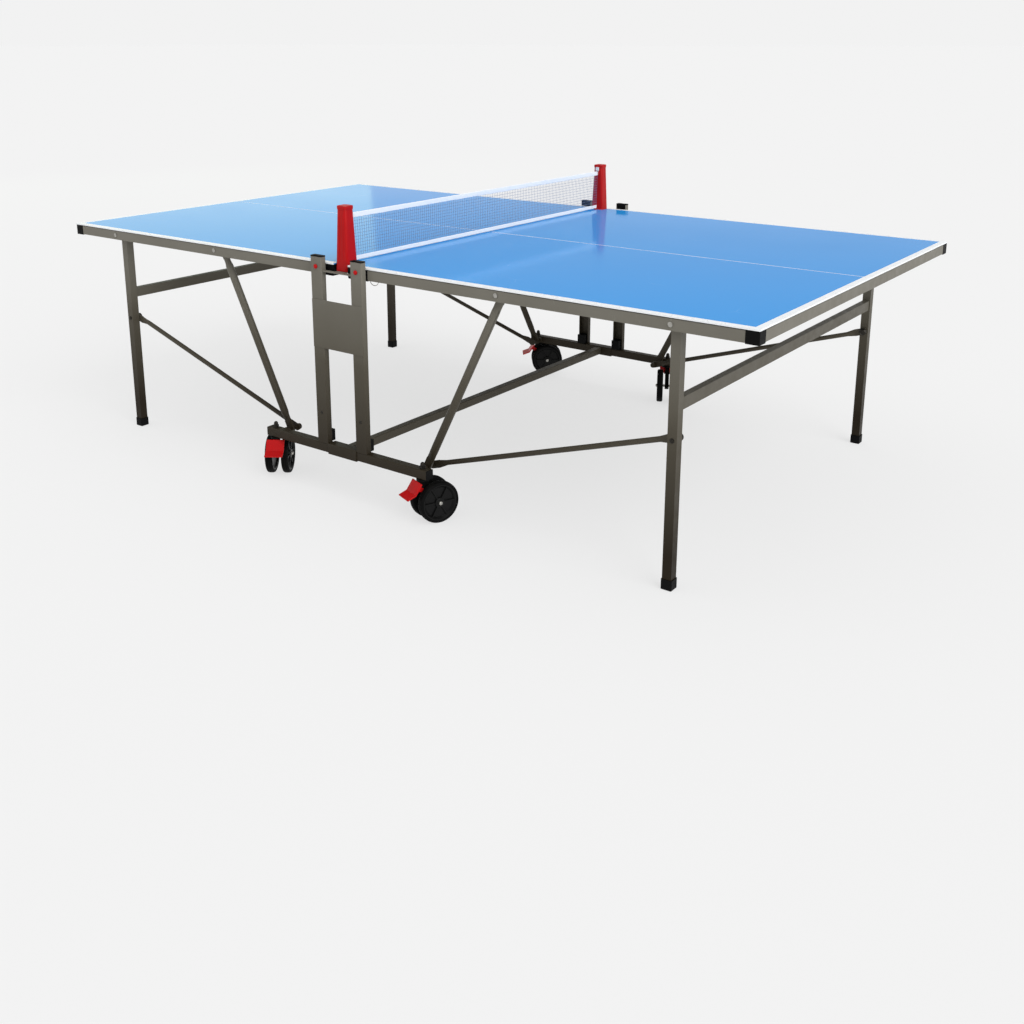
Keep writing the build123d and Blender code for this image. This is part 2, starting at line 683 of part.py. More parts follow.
head_r, head_tall = BOLT_HEAD
head_top = RAIL_OUT + head_tall
bolt_cap = [
    (0, head_top),
    (head_r - 3, head_top),
    (head_r, head_top - 1.3),
    (head_r, RAIL_OUT),
    (PIN_R, RAIL_OUT),
]
with BuildPart() as rail_bolts:
    for pivot, face, tip in PIVOT_BOLTS:
        collar = [(PIN_R, RAIL_IN), (COLLAR_R, RAIL_IN), (COLLAR_R, face), (PIN_R, face)]
        nut = [(PIN_R, tip + NUT[1]), (NUT[0], tip + NUT[1]), (NUT[0], tip), (0, tip)]
        add(turned_pin(pivot, [*bolt_cap, *collar, *nut]))
    mirror(about=Plane.XZ)
write_halves(rail_bolts.part, "rail_bolts")

leg_face = LEG_Y + LEG / 2
with BuildPart() as link_pins:
    pin_head = [(0, leg_face + 4), (4, leg_face + 4), (6.5, leg_face + 2), (6.5, leg_face), (PIN_R, leg_face)]
    knob = [
        (PIN_R, KNOB_OUT),
        (KNOB_R, KNOB_OUT),
        (KNOB_R, KNOB_OUT - 6),
        (KNOB_R - 4, KNOB_OUT - 10),
        (0, KNOB_OUT - KNOB_TALL),
    ]
    add(turned_pin(LINK_PIVOT, [*pin_head, *knob]))
    mirror(about=Plane.XZ)
write_halves(link_pins.part, "link_pins")

with BuildPart() as wire_loop:
    with BuildLine(front_plane(WIRE_Y)) as drop:
        ThreePointArc(
            (WIRE_X[0], WIRE_TOP),
            (sum(WIRE_X) / 2, RAIL_LOW - WIRE_DROP),
            (WIRE_X[1], WIRE_TOP),
        )
    with BuildSketch(Plane(drop.line @ 0, z_dir=drop.line % 0)):
        Circle(WIRE_R)
    sweep()
write(wire_loop.part, "wire_loop")
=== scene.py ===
import json
import math

import bmesh
import bpy
from mathutils import Matrix, Vector


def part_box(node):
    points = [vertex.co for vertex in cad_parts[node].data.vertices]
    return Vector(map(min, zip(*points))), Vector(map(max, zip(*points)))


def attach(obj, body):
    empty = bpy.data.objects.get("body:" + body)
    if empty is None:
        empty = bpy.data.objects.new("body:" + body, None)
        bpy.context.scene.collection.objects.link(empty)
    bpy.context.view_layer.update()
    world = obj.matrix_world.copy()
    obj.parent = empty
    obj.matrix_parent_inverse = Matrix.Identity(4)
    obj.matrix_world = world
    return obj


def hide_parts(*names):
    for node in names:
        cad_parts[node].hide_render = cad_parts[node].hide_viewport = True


# Looks of the folding ping pong table. Metres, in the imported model's frame: +X along the table,
# the front on the -Y side, +Z up.

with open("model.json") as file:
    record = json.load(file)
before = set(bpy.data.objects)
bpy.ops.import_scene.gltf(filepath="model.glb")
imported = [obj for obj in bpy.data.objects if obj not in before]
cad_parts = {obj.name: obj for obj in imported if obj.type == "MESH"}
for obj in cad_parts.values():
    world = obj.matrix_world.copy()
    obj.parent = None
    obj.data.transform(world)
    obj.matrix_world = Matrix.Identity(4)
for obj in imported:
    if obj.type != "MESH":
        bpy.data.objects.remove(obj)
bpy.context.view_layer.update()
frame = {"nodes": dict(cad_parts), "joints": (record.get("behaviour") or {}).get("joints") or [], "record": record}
nodes = frame["nodes"]

HALVES = {"right": 1, "left": -1}
SIDES = {"front": -1, "rear": 1}
PLACES = [f"{side}_{half}" for side in SIDES for half in HALVES]

collection = bpy.context.scene.collection

# ---------------------------------------------------------------- materials


class Finish:
    """A procedural finish on one Principled shader, with coordinates in metres on the piece."""

    def __init__(self, name, color, **sockets):
        self.material = bpy.data.materials.new(name)
        self.material.use_nodes = True
        self.tree = self.material.node_tree
        self.shader = self.tree.nodes["Principled BSDF"]
        self.shader.inputs["Base Color"].default_value = (*color, 1)
        for socket, value in sockets.items():
            self.shader.inputs[socket.replace("_", " ")].default_value = value
        self.place = self.add("ShaderNodeTexCoord").outputs["Object"]
        self.color = color
        self.color_out = None
        self.normal_out = None

    def add(self, kind, **settings):
        node = self.tree.nodes.new(kind)
        for key, value in settings.items():
            setattr(node, key, value)
        return node

    def link(self, out, into):
        self.tree.links.new(out, into)

    def stretched(self, scale):
        """Coordinates scaled by three factors."""
        mapping = self.add("ShaderNodeMapping")
        mapping.inputs["Scale"].default_value = scale
        self.link(self.place, mapping.inputs["Vector"])
        return mapping.outputs["Vector"]

    def noise(self, scale, detail=3, stretch=None):
        noise = self.add("ShaderNodeTexNoise")
        noise.inputs["Scale"].default_value = scale
        noise.inputs["Detail"].default_value = detail
        self.link(self.stretched(stretch) if stretch else self.place, noise.inputs["Vector"])
        return noise.outputs["Fac"]

    def coordinate(self, axis):
        split = self.add("ShaderNodeSeparateXYZ")
        self.link(self.place, split.inputs[0])
        return split.outputs[axis]

    def remap(self, out, low, high, to_low=0.0, to_high=1.0):
        remap = self.add("ShaderNodeMapRange")
        self.link(out, remap.inputs["Value"])
        for key, value in zip(("From Min", "From Max", "To Min", "To Max"), (low, high, to_low, to_high)):
            remap.inputs[key].default_value = value
        return remap.outputs["Result"]

    def tint(self, factor, color):
        """Lays another colour over the present one where factor says."""
        mix = self.add("ShaderNodeMix", data_type="RGBA")
        if self.color_out is None:
            mix.inputs["A"].default_value = (*self.color, 1)
        else:
            self.link(self.color_out, mix.inputs["A"])
        mix.inputs["B"].default_value = (*color, 1)
        self.link(factor, mix.inputs["Factor"])
        self.color_out = mix.outputs["Result"]
        self.link(self.color_out, self.shader.inputs["Base Color"])

    def gloss(self, factor, low, high):
        self.link(self.remap(factor, 0.3, 0.7, low, high), self.shader.inputs["Roughness"])

    def bump(self, height, distance, strength):
        bump = self.add("ShaderNodeBump")
        bump.inputs["Distance"].default_value = distance
        bump.inputs["Strength"].default_value = strength
        self.link(height, bump.inputs["Height"])
        if self.normal_out is not None:
            self.link(self.normal_out, bump.inputs["Normal"])
        self.normal_out = bump.outputs["Normal"]
        self.link(self.normal_out, self.shader.inputs["Normal"])

    def scratches(self, scale, cover):
        """Factor that is 1 on thin, sparse, winding scuffs."""
        ridge = self.add("ShaderNodeTexVoronoi", feature="DISTANCE_TO_EDGE")
        ridge.inputs["Scale"].default_value = scale
        self.link(self.stretched((1, 1, 0.25)), ridge.inputs["Vector"])
        thin = self.remap(ridge.outputs["Distance"], 0.0, 0.012, 1, 0)
        sparse = self.remap(self.noise(scale * 0.6), 0.62 - cover, 0.72 - cover)
        both = self.add("ShaderNodeMath", operation="MULTIPLY")
        self.link(thin, both.inputs[0])
        self.link(sparse, both.inputs[1])
        return both.outputs["Value"]


# Heights between which painted shade darkens the frame's coat towards the floor, in two steps
UPPER_SHADE = (0.74, 0.45)
LOWER_SHADE = (0.50, 0.10)

# The primer shows this far up the panel's edge, with a border this soft
PRIMER_EDGE = 0.0003
PRIMER_BLUR = 0.0001


def powder_coat(name, floor_shade):
    """Satin warm-grey powder coat: fine pebbled skin, and painted shade that darkens it towards the floor by the
    given amount.
    """
    coat = Finish(name, (0.170, 0.161, 0.135), Specular_IOR_Level=0.12)
    coat.tint(coat.remap(coat.noise(5, 4), 0.35, 0.75, 0, 0.25), (0.09, 0.08, 0.062))
    coat.tint(coat.scratches(60, 0.0), (0.30, 0.29, 0.25))
    # Painted shade: the coat darkens with height below the table, in two steps
    coat.tint(coat.remap(coat.coordinate("Z"), *UPPER_SHADE, 0, 0.75), (0.055, 0.046, 0.030))
    coat.tint(coat.remap(coat.coordinate("Z"), *LOWER_SHADE, 0, floor_shade), (0.012, 0.007, 0.002))
    coat.gloss(coat.noise(30, 4), 0.34, 0.52)
    coat.bump(coat.noise(1500, 2), 0.00012, 0.5)
    coat.bump(coat.noise(220, 2), 0.0002, 0.25)
    return coat.material


def moulded(name, color, roughness, shine=0.5, speck=0.2, dust=(0.3, 0.3, 0.3)):
    """Injection-moulded plastic: spark-eroded grain, slight flow shading and a little dust."""
    plastic = Finish(name, color, Specular_IOR_Level=shine)
    plastic.tint(plastic.remap(plastic.noise(14, 4), 0.3, 0.8, 0, speck), tuple(c * 0.45 for c in color))
    plastic.tint(plastic.remap(plastic.noise(160, 5), 0.62, 0.85, 0, 0.05), dust)
    plastic.gloss(plastic.noise(50, 4), roughness - 0.06, roughness + 0.1)
    plastic.bump(plastic.noise(900, 2), 0.00015, 0.45)
    return plastic.material


def lacquered_top(primer_top):
    """Satin blue lacquer over aluminium, and the grey primer of the underside up to primer_top."""
    top = Finish("blue_lacquer", (0.022, 0.286, 0.72), IOR=1.17)
    top.tint(top.remap(top.noise(1.6, 2), 0.35, 0.7, 0, 0.25), (0.027, 0.308, 0.75))
    top.tint(top.remap(top.noise(90, 5), 0.66, 0.8, 0, 0.10), (0.08, 0.34, 0.70))
    top.tint(top.scratches(9, -0.06), (0.14, 0.40, 0.72))
    top.tint(
        top.remap(top.coordinate("Z"), primer_top + PRIMER_BLUR, primer_top - PRIMER_BLUR),
        (0.33, 0.34, 0.34),
    )
    top.gloss(top.noise(4, 5), 0.07, 0.13)
    top.bump(top.noise(420, 3), 0.00003, 0.3)
    top.bump(top.noise(3, 2), 0.0006, 0.12)
    return top.material


def line_paint():
    paint = Finish("white_line_paint", (0.82, 0.84, 0.86), IOR=1.45)
    paint.tint(paint.remap(paint.noise(14, 3), 0.45, 0.85, 0, 0.3), (0.66, 0.69, 0.72))
    paint.gloss(paint.noise(25, 4), 0.22, 0.38)
    paint.bump(paint.noise(700, 2), 0.00008, 0.4)
    return paint.material


def woven_tape():
    """White webbing in a plain weave."""
    tape = Finish("woven_tape", (0.90, 0.91, 0.93), Roughness=0.8, Sheen_Weight=0.25, Sheen_Roughness=0.4)
    weave = []
    for axis in ("Y", "Z"):
        thread = tape.add("ShaderNodeTexWave", bands_direction=axis, wave_profile="SIN")
        thread.inputs["Scale"].default_value = 260
        thread.inputs["Distortion"].default_value = 0.6
        tape.link(tape.place, thread.inputs["Vector"])
        weave.append(thread.outputs["Fac"])
    crossed = tape.add("ShaderNodeMath", operation="MULTIPLY")
    tape.link(weave[0], crossed.inputs[0])
    tape.link(weave[1], crossed.inputs[1])
    tape.tint(tape.remap(crossed.outputs["Value"], 0.0, 0.5, 0.3, 0), (0.62, 0.64, 0.68))
    tape.tint(tape.remap(tape.noise(18, 4), 0.5, 0.8, 0, 0.25), (0.78, 0.78, 0.75))
    tape.bump(crossed.outputs["Value"], 0.0005, 0.7)
    return tape.material


def twine():
    cord = Finish("nylon_twine", (0.13, 0.19, 0.33), Roughness=0.62, Sheen_Weight=0.1)
    cord.tint(cord.remap(cord.noise(160, 3), 0.4, 0.7, 0, 0.5), (0.10, 0.15, 0.28))
    cord.bump(cord.noise(4200, 2, (1, 1, 0.3)), 0.0002, 0.8)
    return cord.material


def plated(name, color):
    """Plated steel with a faint brushed grain."""
    steel = Finish(name, color, Metallic=1.0)
    steel.tint(steel.remap(steel.noise(220, 5), 0.45, 0.75, 0, 0.5), tuple(c * 0.5 for c in color))
    steel.gloss(steel.noise(90, 4), 0.3, 0.48)
    steel.bump(steel.noise(900, 2, (1, 6, 1)), 0.0001, 0.4)
    return steel.material


def tyre_rubber():
    rubber = Finish("tyre_rubber", (0.003, 0.003, 0.003), Specular_IOR_Level=0.05)
    rubber.tint(rubber.remap(rubber.noise(26, 5), 0.5, 0.8, 0, 0.5), (0.012, 0.011, 0.010))
    rubber.gloss(rubber.noise(60, 4), 0.5, 0.72)
    rubber.bump(rubber.noise(700, 3), 0.0003, 0.5)
    return rubber.material


BLUE = lacquered_top(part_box("right_top_panel")[0].z + PRIMER_EDGE)
WHITE_PAINT = line_paint()
BLACK = moulded("black_plastic", (0.004, 0.004, 0.004), 0.5, 0.06, dust=(0.04, 0.04, 0.04))
HUB_BLACK = moulded("hub_plastic", (0.005, 0.005, 0.005), 0.34, 0.12, dust=(0.05, 0.05, 0.05))
RED = moulded("red_plastic", (0.42, 0.005, 0.006), 0.34, 0.12)
# Near-black finish of the strip that stands in for the shadow in the rails' groove
SHADE_STRIP_FINISH = moulded("shade_strip_black", (0.004, 0.004, 0.004), 0.7, 0.15)
TAPE = woven_tape()
TWINE = twine()
ZINC = plated("zinc_plate", (0.40, 0.39, 0.36))
BLACK_OXIDE = plated("black_oxide", (0.035, 0.032, 0.028))
TYRE_RUBBER = tyre_rubber()

SLOT_FINISH = {
    "frame_steel": powder_coat("frame_powder_coat", 0.95),
    "playing_surface": BLUE,
    "black_plastic": BLACK,
    "red_plastic": RED,
    "white_plastic": moulded("white_plastic", (0.78, 0.78, 0.78), 0.35),
    "net_mesh": TWINE,
    "white_tape": TAPE,
    "bolt_steel": ZINC,
    "tyre": TYRE_RUBBER,
}

NODE_FINISH = {
    # The cross tube gets a lit copy of the frame's coat, with less of the painted shade towards the floor
    "cross_tube": powder_coat("cross_tube_lit_coat", 0.35),
    "frame_fasteners": BLACK_OXIDE,
    "right_link_pins": BLACK_OXIDE,
    "left_link_pins": BLACK_OXIDE,
}

# ---------------------------------------------------------------- carried-over CAD nodes

# Radius of the edges, for each finish that has soft ones
EDGE_ROUND = {
    "frame_steel": 0.0010,
    "black_plastic": 0.0008,
    "red_plastic": 0.0009,
    "playing_surface": 0.0006,
}
FLAT = math.radians(0.5)
CORNER = math.radians(50)


def soften(node, radius):
    """Rounds a node's sharp edges, after joining the triangles of its flat faces."""
    weld = node.modifiers.new("weld", "WELD")
    weld.merge_threshold = 1e-5
    planar = node.modifiers.new("planar", "DECIMATE")
    planar.decimate_type = "DISSOLVE"
    planar.angle_limit = FLAT
    rounding = node.modifiers.new("rounding", "BEVEL")
    rounding.width = radius
    rounding.segments = 2
    rounding.limit_method = "ANGLE"
    rounding.angle_limit = CORNER
    rounding.use_clamp_overlap = True


for part in frame["record"]["subparts"]:
    name, slot = part["node"], part["material_slot"]
    nodes[name].data.materials.clear()
    nodes[name].data.materials.append(NODE_FINISH.get(name, SLOT_FINISH[slot]))
    if slot in EDGE_ROUND:
        soften(nodes[name], EDGE_ROUND[slot])

# ---------------------------------------------------------------- mesh helpers


def piece(name, bm, material, body, smooth=35):
    """Makes a bmesh into a named piece that rides on a body."""
    bmesh.ops.recalc_face_normals(bm, faces=bm.faces)
    mesh = bpy.data.meshes.new(name)
    bm.to_mesh(mesh)
    bm.free()
    mesh.materials.append(material)
    if smooth:
        mesh.shade_smooth()
        mesh.set_sharp_from_angle(angle=math.radians(smooth))
    made = bpy.data.objects.new(name, mesh)
    collection.objects.link(made)
    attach(made, body)
    return made


def skin(bm, rows):
    """Joins each ring of vertices to the next with quads."""
    count = len(rows[0])
    for near, far in zip(rows, rows[1:]):
        for i in range(count):
            j = (i + 1) % count
            bm.faces.new((near[i], near[j], far[j], far[i]))


def loft(bm, rings):
    """Solid through rings of points, closed at both ends."""
    rows = [[bm.verts.new(p) for p in ring] for ring in rings]
    skin(bm, rows)
    bm.faces.new(reversed(rows[0]))
    bm.faces.new(rows[-1])


def lathe(bm, profile, place, steps):
    """Solid of revolution about the Z axis of place, from a loop of (radius, height) points."""
    rows = []
    for i in range(steps):
        a = 2 * math.pi * i / steps
        ring = [place @ Vector((r * math.cos(a), r * math.sin(a), h)) for r, h in profile]
        rows.append([bm.verts.new(p) for p in ring])
    skin(bm, rows + rows[:1])
    bmesh.ops.remove_doubles(bm, verts=bm.verts, dist=1e-6)


def slab(bm, outline, place, low, high, chamfer):
    """Prism on an outline in the XY plane of place, with a chamfer round its top."""
    centre = sum((Vector(p) for p in outline), Vector((0, 0))) / len(outline)
    rings = []
    for height, inset in ((low, 0), (high - chamfer, 0), (high, chamfer)):
        ring = []
        for p in outline:
            out = Vector(p) - centre
            q = centre + out * max(0.0, 1 - inset / max(out.length, 1e-9))
            ring.append(place @ Vector((q.x, q.y, height)))
        rings.append(ring)
    loft(bm, rings)


def block(bm, low, high, chamfer):
    """Box from one corner to the other with chamfered edges."""
    made = bmesh.ops.create_cube(bm, size=1)["verts"]
    low, high = Vector(low), Vector(high)
    for v in made:
        v.co = Vector((v.co[i] * (high[i] - low[i]) + (high[i] + low[i]) / 2 for i in range(3)))
    edges = list({e for v in made for e in v.link_edges})
    bmesh.ops.bevel(bm, geom=edges, offset=chamfer, segments=2, profile=0.7, affect="EDGES")


# ---------------------------------------------------------------- lines, lip, and a dark strip painted into the groove's shade

# Widths of the border and of the centre line
LINE = 0.020
CENTRE_LINE = 0.003

# The paint's height over the panel, its depth into it, its softened rim, and its lip past the edge
PAINT = 0.00025
PAINT_ROOT = 0.0002
PAINT_ROUND = 0.0004
LIP = 0.0003

# The groove's height, and the faces of the dark strip that paints the groove's shade, behind the rail's, with a
# gap above and below
GROOVE = 0.0025
STRIP_OUT = 0.0032
STRIP_IN = 0.0046
STRIP_GAP = 0.0001


def paint_lines(half, way):
    """White border along three edges, wrapped over the panel's rim, and the centre line."""
    low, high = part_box(f"{half}_top_panel")
    gap, end = sorted((abs(low.x), abs(high.x)))
    side, top, under = high.y, high.z, low.z
    notch = min(abs(corner.x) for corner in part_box(f"{half}_rail_caps"))
    root = top - PAINT_ROOT
    stripe = [
        (LIP, under), (LIP, top), (LIP - PAINT_ROUND, top + PAINT), (-LINE, top + PAINT),
        (-LINE, root), (-LIP, root), (-LIP, under),
    ]
    bm = bmesh.new()
    mitred = []
    for at_end, sign in ((0, -1), (1, -1), (1, 1), (0, 1)):
        mitred.append([
            Vector((way * (end + out if at_end else notch), sign * (side + out), z)) for out, z in stripe
        ])
    loft(bm, mitred)
    x0, x1 = sorted((way * gap, way * (end - LINE)))
    block(bm, (x0, -CENTRE_LINE / 2, root), (x1, CENTRE_LINE / 2, top + PAINT), 0.00008)
    piece(f"{half}_line_paint", bm, WHITE_PAINT, f"{half}_half", smooth=0)


def shade_strip(half, way):
    """Black strip in the groove between the rails and the panel, a dark sheet that paints the groove's shadow
    line.
    """
    rails_low, rails_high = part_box(f"{half}_side_rails")
    end_low, end_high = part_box(f"{half}_end_rail")
    z0 = rails_high.z - GROOVE + STRIP_GAP
    z1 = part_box(f"{half}_top_panel")[0].z - STRIP_GAP
    bm = bmesh.new()
    for sign in SIDES.values():
        y0, y1 = sorted((sign * (rails_high.y - STRIP_OUT), sign * (rails_high.y - STRIP_IN)))
        block(bm, (rails_low.x, y0, z0), (rails_high.x, y1, z1), 0.0002)
    end_face = max(abs(end_low.x), abs(end_high.x))
    x0, x1 = sorted((way * (end_face - STRIP_OUT), way * (end_face - STRIP_IN)))
    block(bm, (x0, end_low.y, z0), (x1, end_high.y, z1), 0.0002)
    piece(f"{half}_gasket", bm, SHADE_STRIP_FINISH, f"{half}_half", smooth=0)


for half, way in HALVES.items():
    paint_lines(half, way)
    shade_strip(half, way)

# ---------------------------------------------------------------- net

# The net's mesh, the twine's radius, and how far its ends run into the tapes
MESH = 0.010
TWINE_R = 0.00046
TUCK = 0.003
net_low, net_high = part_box("net")
net_tall = net_high.z - net_low.z


def half_length_at(node, z):
    """How far a node reaches along Y at one of its own corners' heights."""
    return max(v.co.y for v in nodes[node].data.vertices if abs(v.co.z - z) < 1e-4)


top_reach = half_length_at("net", net_high.z)
low_reach = half_length_at("net", net_low.z)


def reach_at(z):
    """Half the net's length at height z, which grows as the posts narrow."""
    return low_reach + (top_reach - low_reach) * (z - net_low.z) / net_tall


def sway(y, z):
    """How far the net stands off its plane: slack twine between taut tapes."""
    belly = math.sin(math.pi * (z - net_low.z) / net_tall)
    return belly * (0.0011 * math.sin(7.3 * y + 1.1) + 0.0006 * math.sin(23.0 * y))


def strand(bm, points, sides=5):
    """Round twine along points."""
    rings = []
    for i, p in enumerate(points):
        ahead = (points[min(i + 1, len(points) - 1)] - points[max(i - 1, 0)]).normalized()
        across = ahead.cross(Vector((1, 0, 0))).normalized()
        other = ahead.cross(across)
        turns = [2 * math.pi * k / sides for k in range(sides)]
        rings.append([p + TWINE_R * (math.cos(a) * across + math.sin(a) * other) for a in turns])
    loft(bm, rings)


def upright_strand(column, steps=6):
    """Points of a strand from tape to tape, in a column counted from the middle of the net."""
    points = []
    for k in range(steps + 1):
        z = net_low.z - TUCK + (net_tall + 2 * TUCK) * k / steps
        z_in = min(max(z, net_low.z), net_high.z)
        y = column * MESH * reach_at(z_in) / low_reach
        points.append(Vector((sway(y, z_in), y, z)))
    return points


def level_strand(z, steps=140):
    """Points of a strand from post to post, passing the upright ones on one side and the other."""
    points = []
    for j in range(steps + 1):
        y = -reach_at(z) + 2 * reach_at(z) * j / steps
        weave = TWINE_R * 0.6 * (1 if j % 2 else -1)
        points.append(Vector((sway(y, z) + weave, y, z)))
    return points


bm = bmesh.new()
columns = int(2 * low_reach / MESH) // 2
for column in range(-columns, columns + 1):
    points = upright_strand(column)
    strand(bm, points)
rows = int(net_tall / MESH)
for row in range(1, rows + 1):
    z = net_low.z + net_tall * row / (rows + 1)
    strand(bm, level_strand(z))
net = piece("net_twine", bm, TWINE, "centre_frame", smooth=80)
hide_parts("net")


def tape_ring(share, low, high, thick, steps=16):
    """Soft flat cross-section of a tape, at a share of its half length."""
    tall = high - low
    far_low, far_high = half_length_at("net_tapes", low), half_length_at("net_tapes", high)
    wave = 0.0005 * math.sin(share * 21) + 0.0003 * math.sin(share * 47 + low)
    ring = []
    for k in range(steps):
        a = 2 * math.pi * k / steps
        across, up = math.cos(a), math.sin(a)
        across = math.copysign(abs(across) ** 0.7, across) * (0.72 + 0.28 * abs(up)) * thick * 0.9
        z = (low + high) / 2 + math.copysign(abs(up) ** 0.45, up) * tall / 2
        y = share * (far_low + (far_high - far_low) * (z - low) / tall)
        ring.append(Vector((across + wave, y, z)))
    return ring


TAPE_STEPS = 80
tape_low, tape_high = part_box("net_tapes")
bm = bmesh.new()
for low, high in ((tape_low.z, net_low.z), (net_high.z, tape_high.z)):
    shares = [j / TAPE_STEPS * 2 - 1 for j in range(TAPE_STEPS + 1)]
    loft(bm, [tape_ring(share, low, high, tape_high.x) for share in shares])
bands = piece("net_bands", bm, TAPE, "centre_frame", smooth=60)
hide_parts("net_tapes")

# ---------------------------------------------------------------- net posts

# The radius of the rim's corners
POST_CORNER = 0.007

# The ridges' depth into the post, their rise over it, and what they leave bare at foot and head
RIDGE_ROOT = 0.0006
RIDGE_RISE = 0.0014
RIDGE_FOOT = 0.03
RIDGE_HEAD = 0.02
RIDGE_STEPS = 12


def rounded_square(middle, half, z, steps=5):
    """Level square ring about the point (0, middle), with round corners."""
    flat = half - POST_CORNER
    ring = []
    for quarter, (cx, cy) in enumerate(((1, 1), (-1, 1), (-1, -1), (1, -1))):
        for s in range(steps + 1):
            a = math.pi / 2 * (quarter + s / steps)
            x, y = cx * flat + POST_CORNER * math.cos(a), cy * flat + POST_CORNER * math.sin(a)
            ring.append(Vector((x, middle + y, z)))
    return ring


def post_rim(side, sign):
    """Rolled rim round a net post's head, and two ridges down its outer face."""
    low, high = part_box(f"{side}_net_post")
    middle = (low.y + high.y) / 2
    points = [v.co for v in nodes[f"{side}_net_post"].data.vertices]
    head = max(abs(p.x) for p in points if p.z > high.z - 1e-4)
    foot = high.x
    roll = [
        (0.0001, -0.011), (0.0011, -0.010), (0.0014, -0.002),
        (0.0006, 0.0006), (-0.0014, 0.0009), (-0.0040, -0.0012),
    ]
    bm = bmesh.new()
    loft(bm, [rounded_square(middle, head + out, high.z + up) for out, up in roll])
    for ridge in (-1, 1):
        rings = []
        for k in range(RIDGE_STEPS + 1):
            t = k / RIDGE_STEPS
            z = low.z + RIDGE_FOOT + t * (high.z - low.z - RIDGE_FOOT - RIDGE_HEAD)
            wall = foot + (head - foot) * (z - low.z) / (high.z - low.z)
            swell = math.sin(math.pi * min(1, min(t, 1 - t) * 6) / 2)
            x = ridge * wall * 0.36
            y = middle + sign * (wall - RIDGE_ROOT)
            crest = y + sign * (RIDGE_ROOT + RIDGE_RISE * swell)
            outline = ((-0.0016, y), (-0.0009, crest), (0.0009, crest), (0.0016, y))
            rings.append([Vector((x + dx, at, z)) for dx, at in outline])
        loft(bm, rings)
    piece(f"{side}_post_rim", bm, RED, "centre_frame", smooth=40)


for side, sign in SIDES.items():
    post_rim(side, sign)

# ---------------------------------------------------------------- casters

# The tyre's thickness on its rim, and the ribs of a hub
TYRE = 0.010
SPOKES = 6


def tyre_profile(radius, inner, outer):
    """Round-shouldered tread with a fine groove near each shoulder."""
    shoulder = [
        (TYRE, 0.0010), (TYRE - 0.0015, 0.0002), (0.005, 0), (0.002, 0.0015), (0.0006, 0.0045),
        (0, 0.0075), (0.0011, 0.0083), (0.0011, 0.0091), (0, 0.0099),
    ]
    outside = [(radius - drop, outer - depth) for drop, depth in shoulder]
    inside = [(radius - drop, inner + depth) for drop, depth in reversed(shoulder)]
    return outside + inside


def hub_profile(rim, inner, outer):
    """Dished disc with a boss, and a flange that carries the tyre."""
    return [
        (0.0055, inner + 0.0005), (0.0055, outer - 0.0008), (0.0125, outer - 0.0008),
        (0.0150, outer - 0.0020), (0.0165, outer - 0.0075), (rim - 0.0090, outer - 0.0085),
        (rim - 0.0045, outer - 0.0030), (rim - 0.0030, outer - 0.0012), (rim, outer - 0.0012),
        (rim, inner + 0.0010), (rim - 0.0040, inner + 0.0010), (rim - 0.0070, inner + 0.0060),
        (0.0160, inner + 0.0060), (0.0130, inner + 0.0005),
    ]


def axle_end_profile(outer, reach):
    """Domed end of the axle, from the boss out to its reach."""
    return [
        (0.0001, outer - 0.0010), (0.0062, outer - 0.0010), (0.0062, reach - 0.0030),
        (0.0055, reach - 0.0012), (0.0030, reach - 0.0002), (0.0001, reach),
    ]


def caster(place):
    """Tyres, spoked hubs and axle of one caster, on its wheels' own axis."""
    joint = next(j for j in frame["joints"] if j["name"] == f"{place}_wheel_spin")
    centre, axle = Vector(joint["pos_m"]), Vector(joint["axis"])
    measured = []
    for v in nodes[f"{place}_caster_wheels"].data.vertices:
        along = (v.co - centre).dot(axle)
        measured.append((along, (v.co - centre - axle * along).length))
    radius = max(off for along, off in measured)
    reach = max(along for along, off in measured)
    wheel = [abs(along) for along, off in measured if off > 0.5 * radius]
    inner, outer = min(wheel), max(wheel)
    rim = radius - TYRE
    upright = Matrix.Translation(centre) @ axle.to_track_quat("Z", "Y").to_matrix().to_4x4()
    tyres, hubs, ends = bmesh.new(), bmesh.new(), bmesh.new()
    for way in (1, -1):
        put = upright @ Matrix.Diagonal((1, 1, way, 1))
        lathe(tyres, tyre_profile(radius, inner, outer), put, 72)
        lathe(hubs, hub_profile(rim, inner, outer), put, 60)
        for s in range(SPOKES):
            spin = put @ Matrix.Rotation(2 * math.pi * s / SPOKES, 4, "Z")
            rib = [(0.013, -0.0021), (rim - 0.004, -0.0015), (rim - 0.004, 0.0015), (0.013, 0.0021)]
            slab(hubs, rib, spin, outer - 0.0090, outer - 0.0032, 0.0007)
        lathe(ends, axle_end_profile(outer, reach), put, 32)
    shaft = [(0.0001, -outer), (0.0048, -outer), (0.0048, outer), (0.0001, outer)]
    lathe(ends, shaft, upright, 24)
    body = f"{place}_wheel_pair"
    tyre = piece(f"{place}_tyres", tyres, TYRE_RUBBER, body)
    piece(f"{place}_hubs", hubs, HUB_BLACK, body)
    piece(f"{place}_axle", ends, ZINC, body)
    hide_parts(f"{place}_caster_wheels")


for place in PLACES:
    caster(place)

# ---------------------------------------------------------------- floor, light and camera

BACKGROUND = 0.887


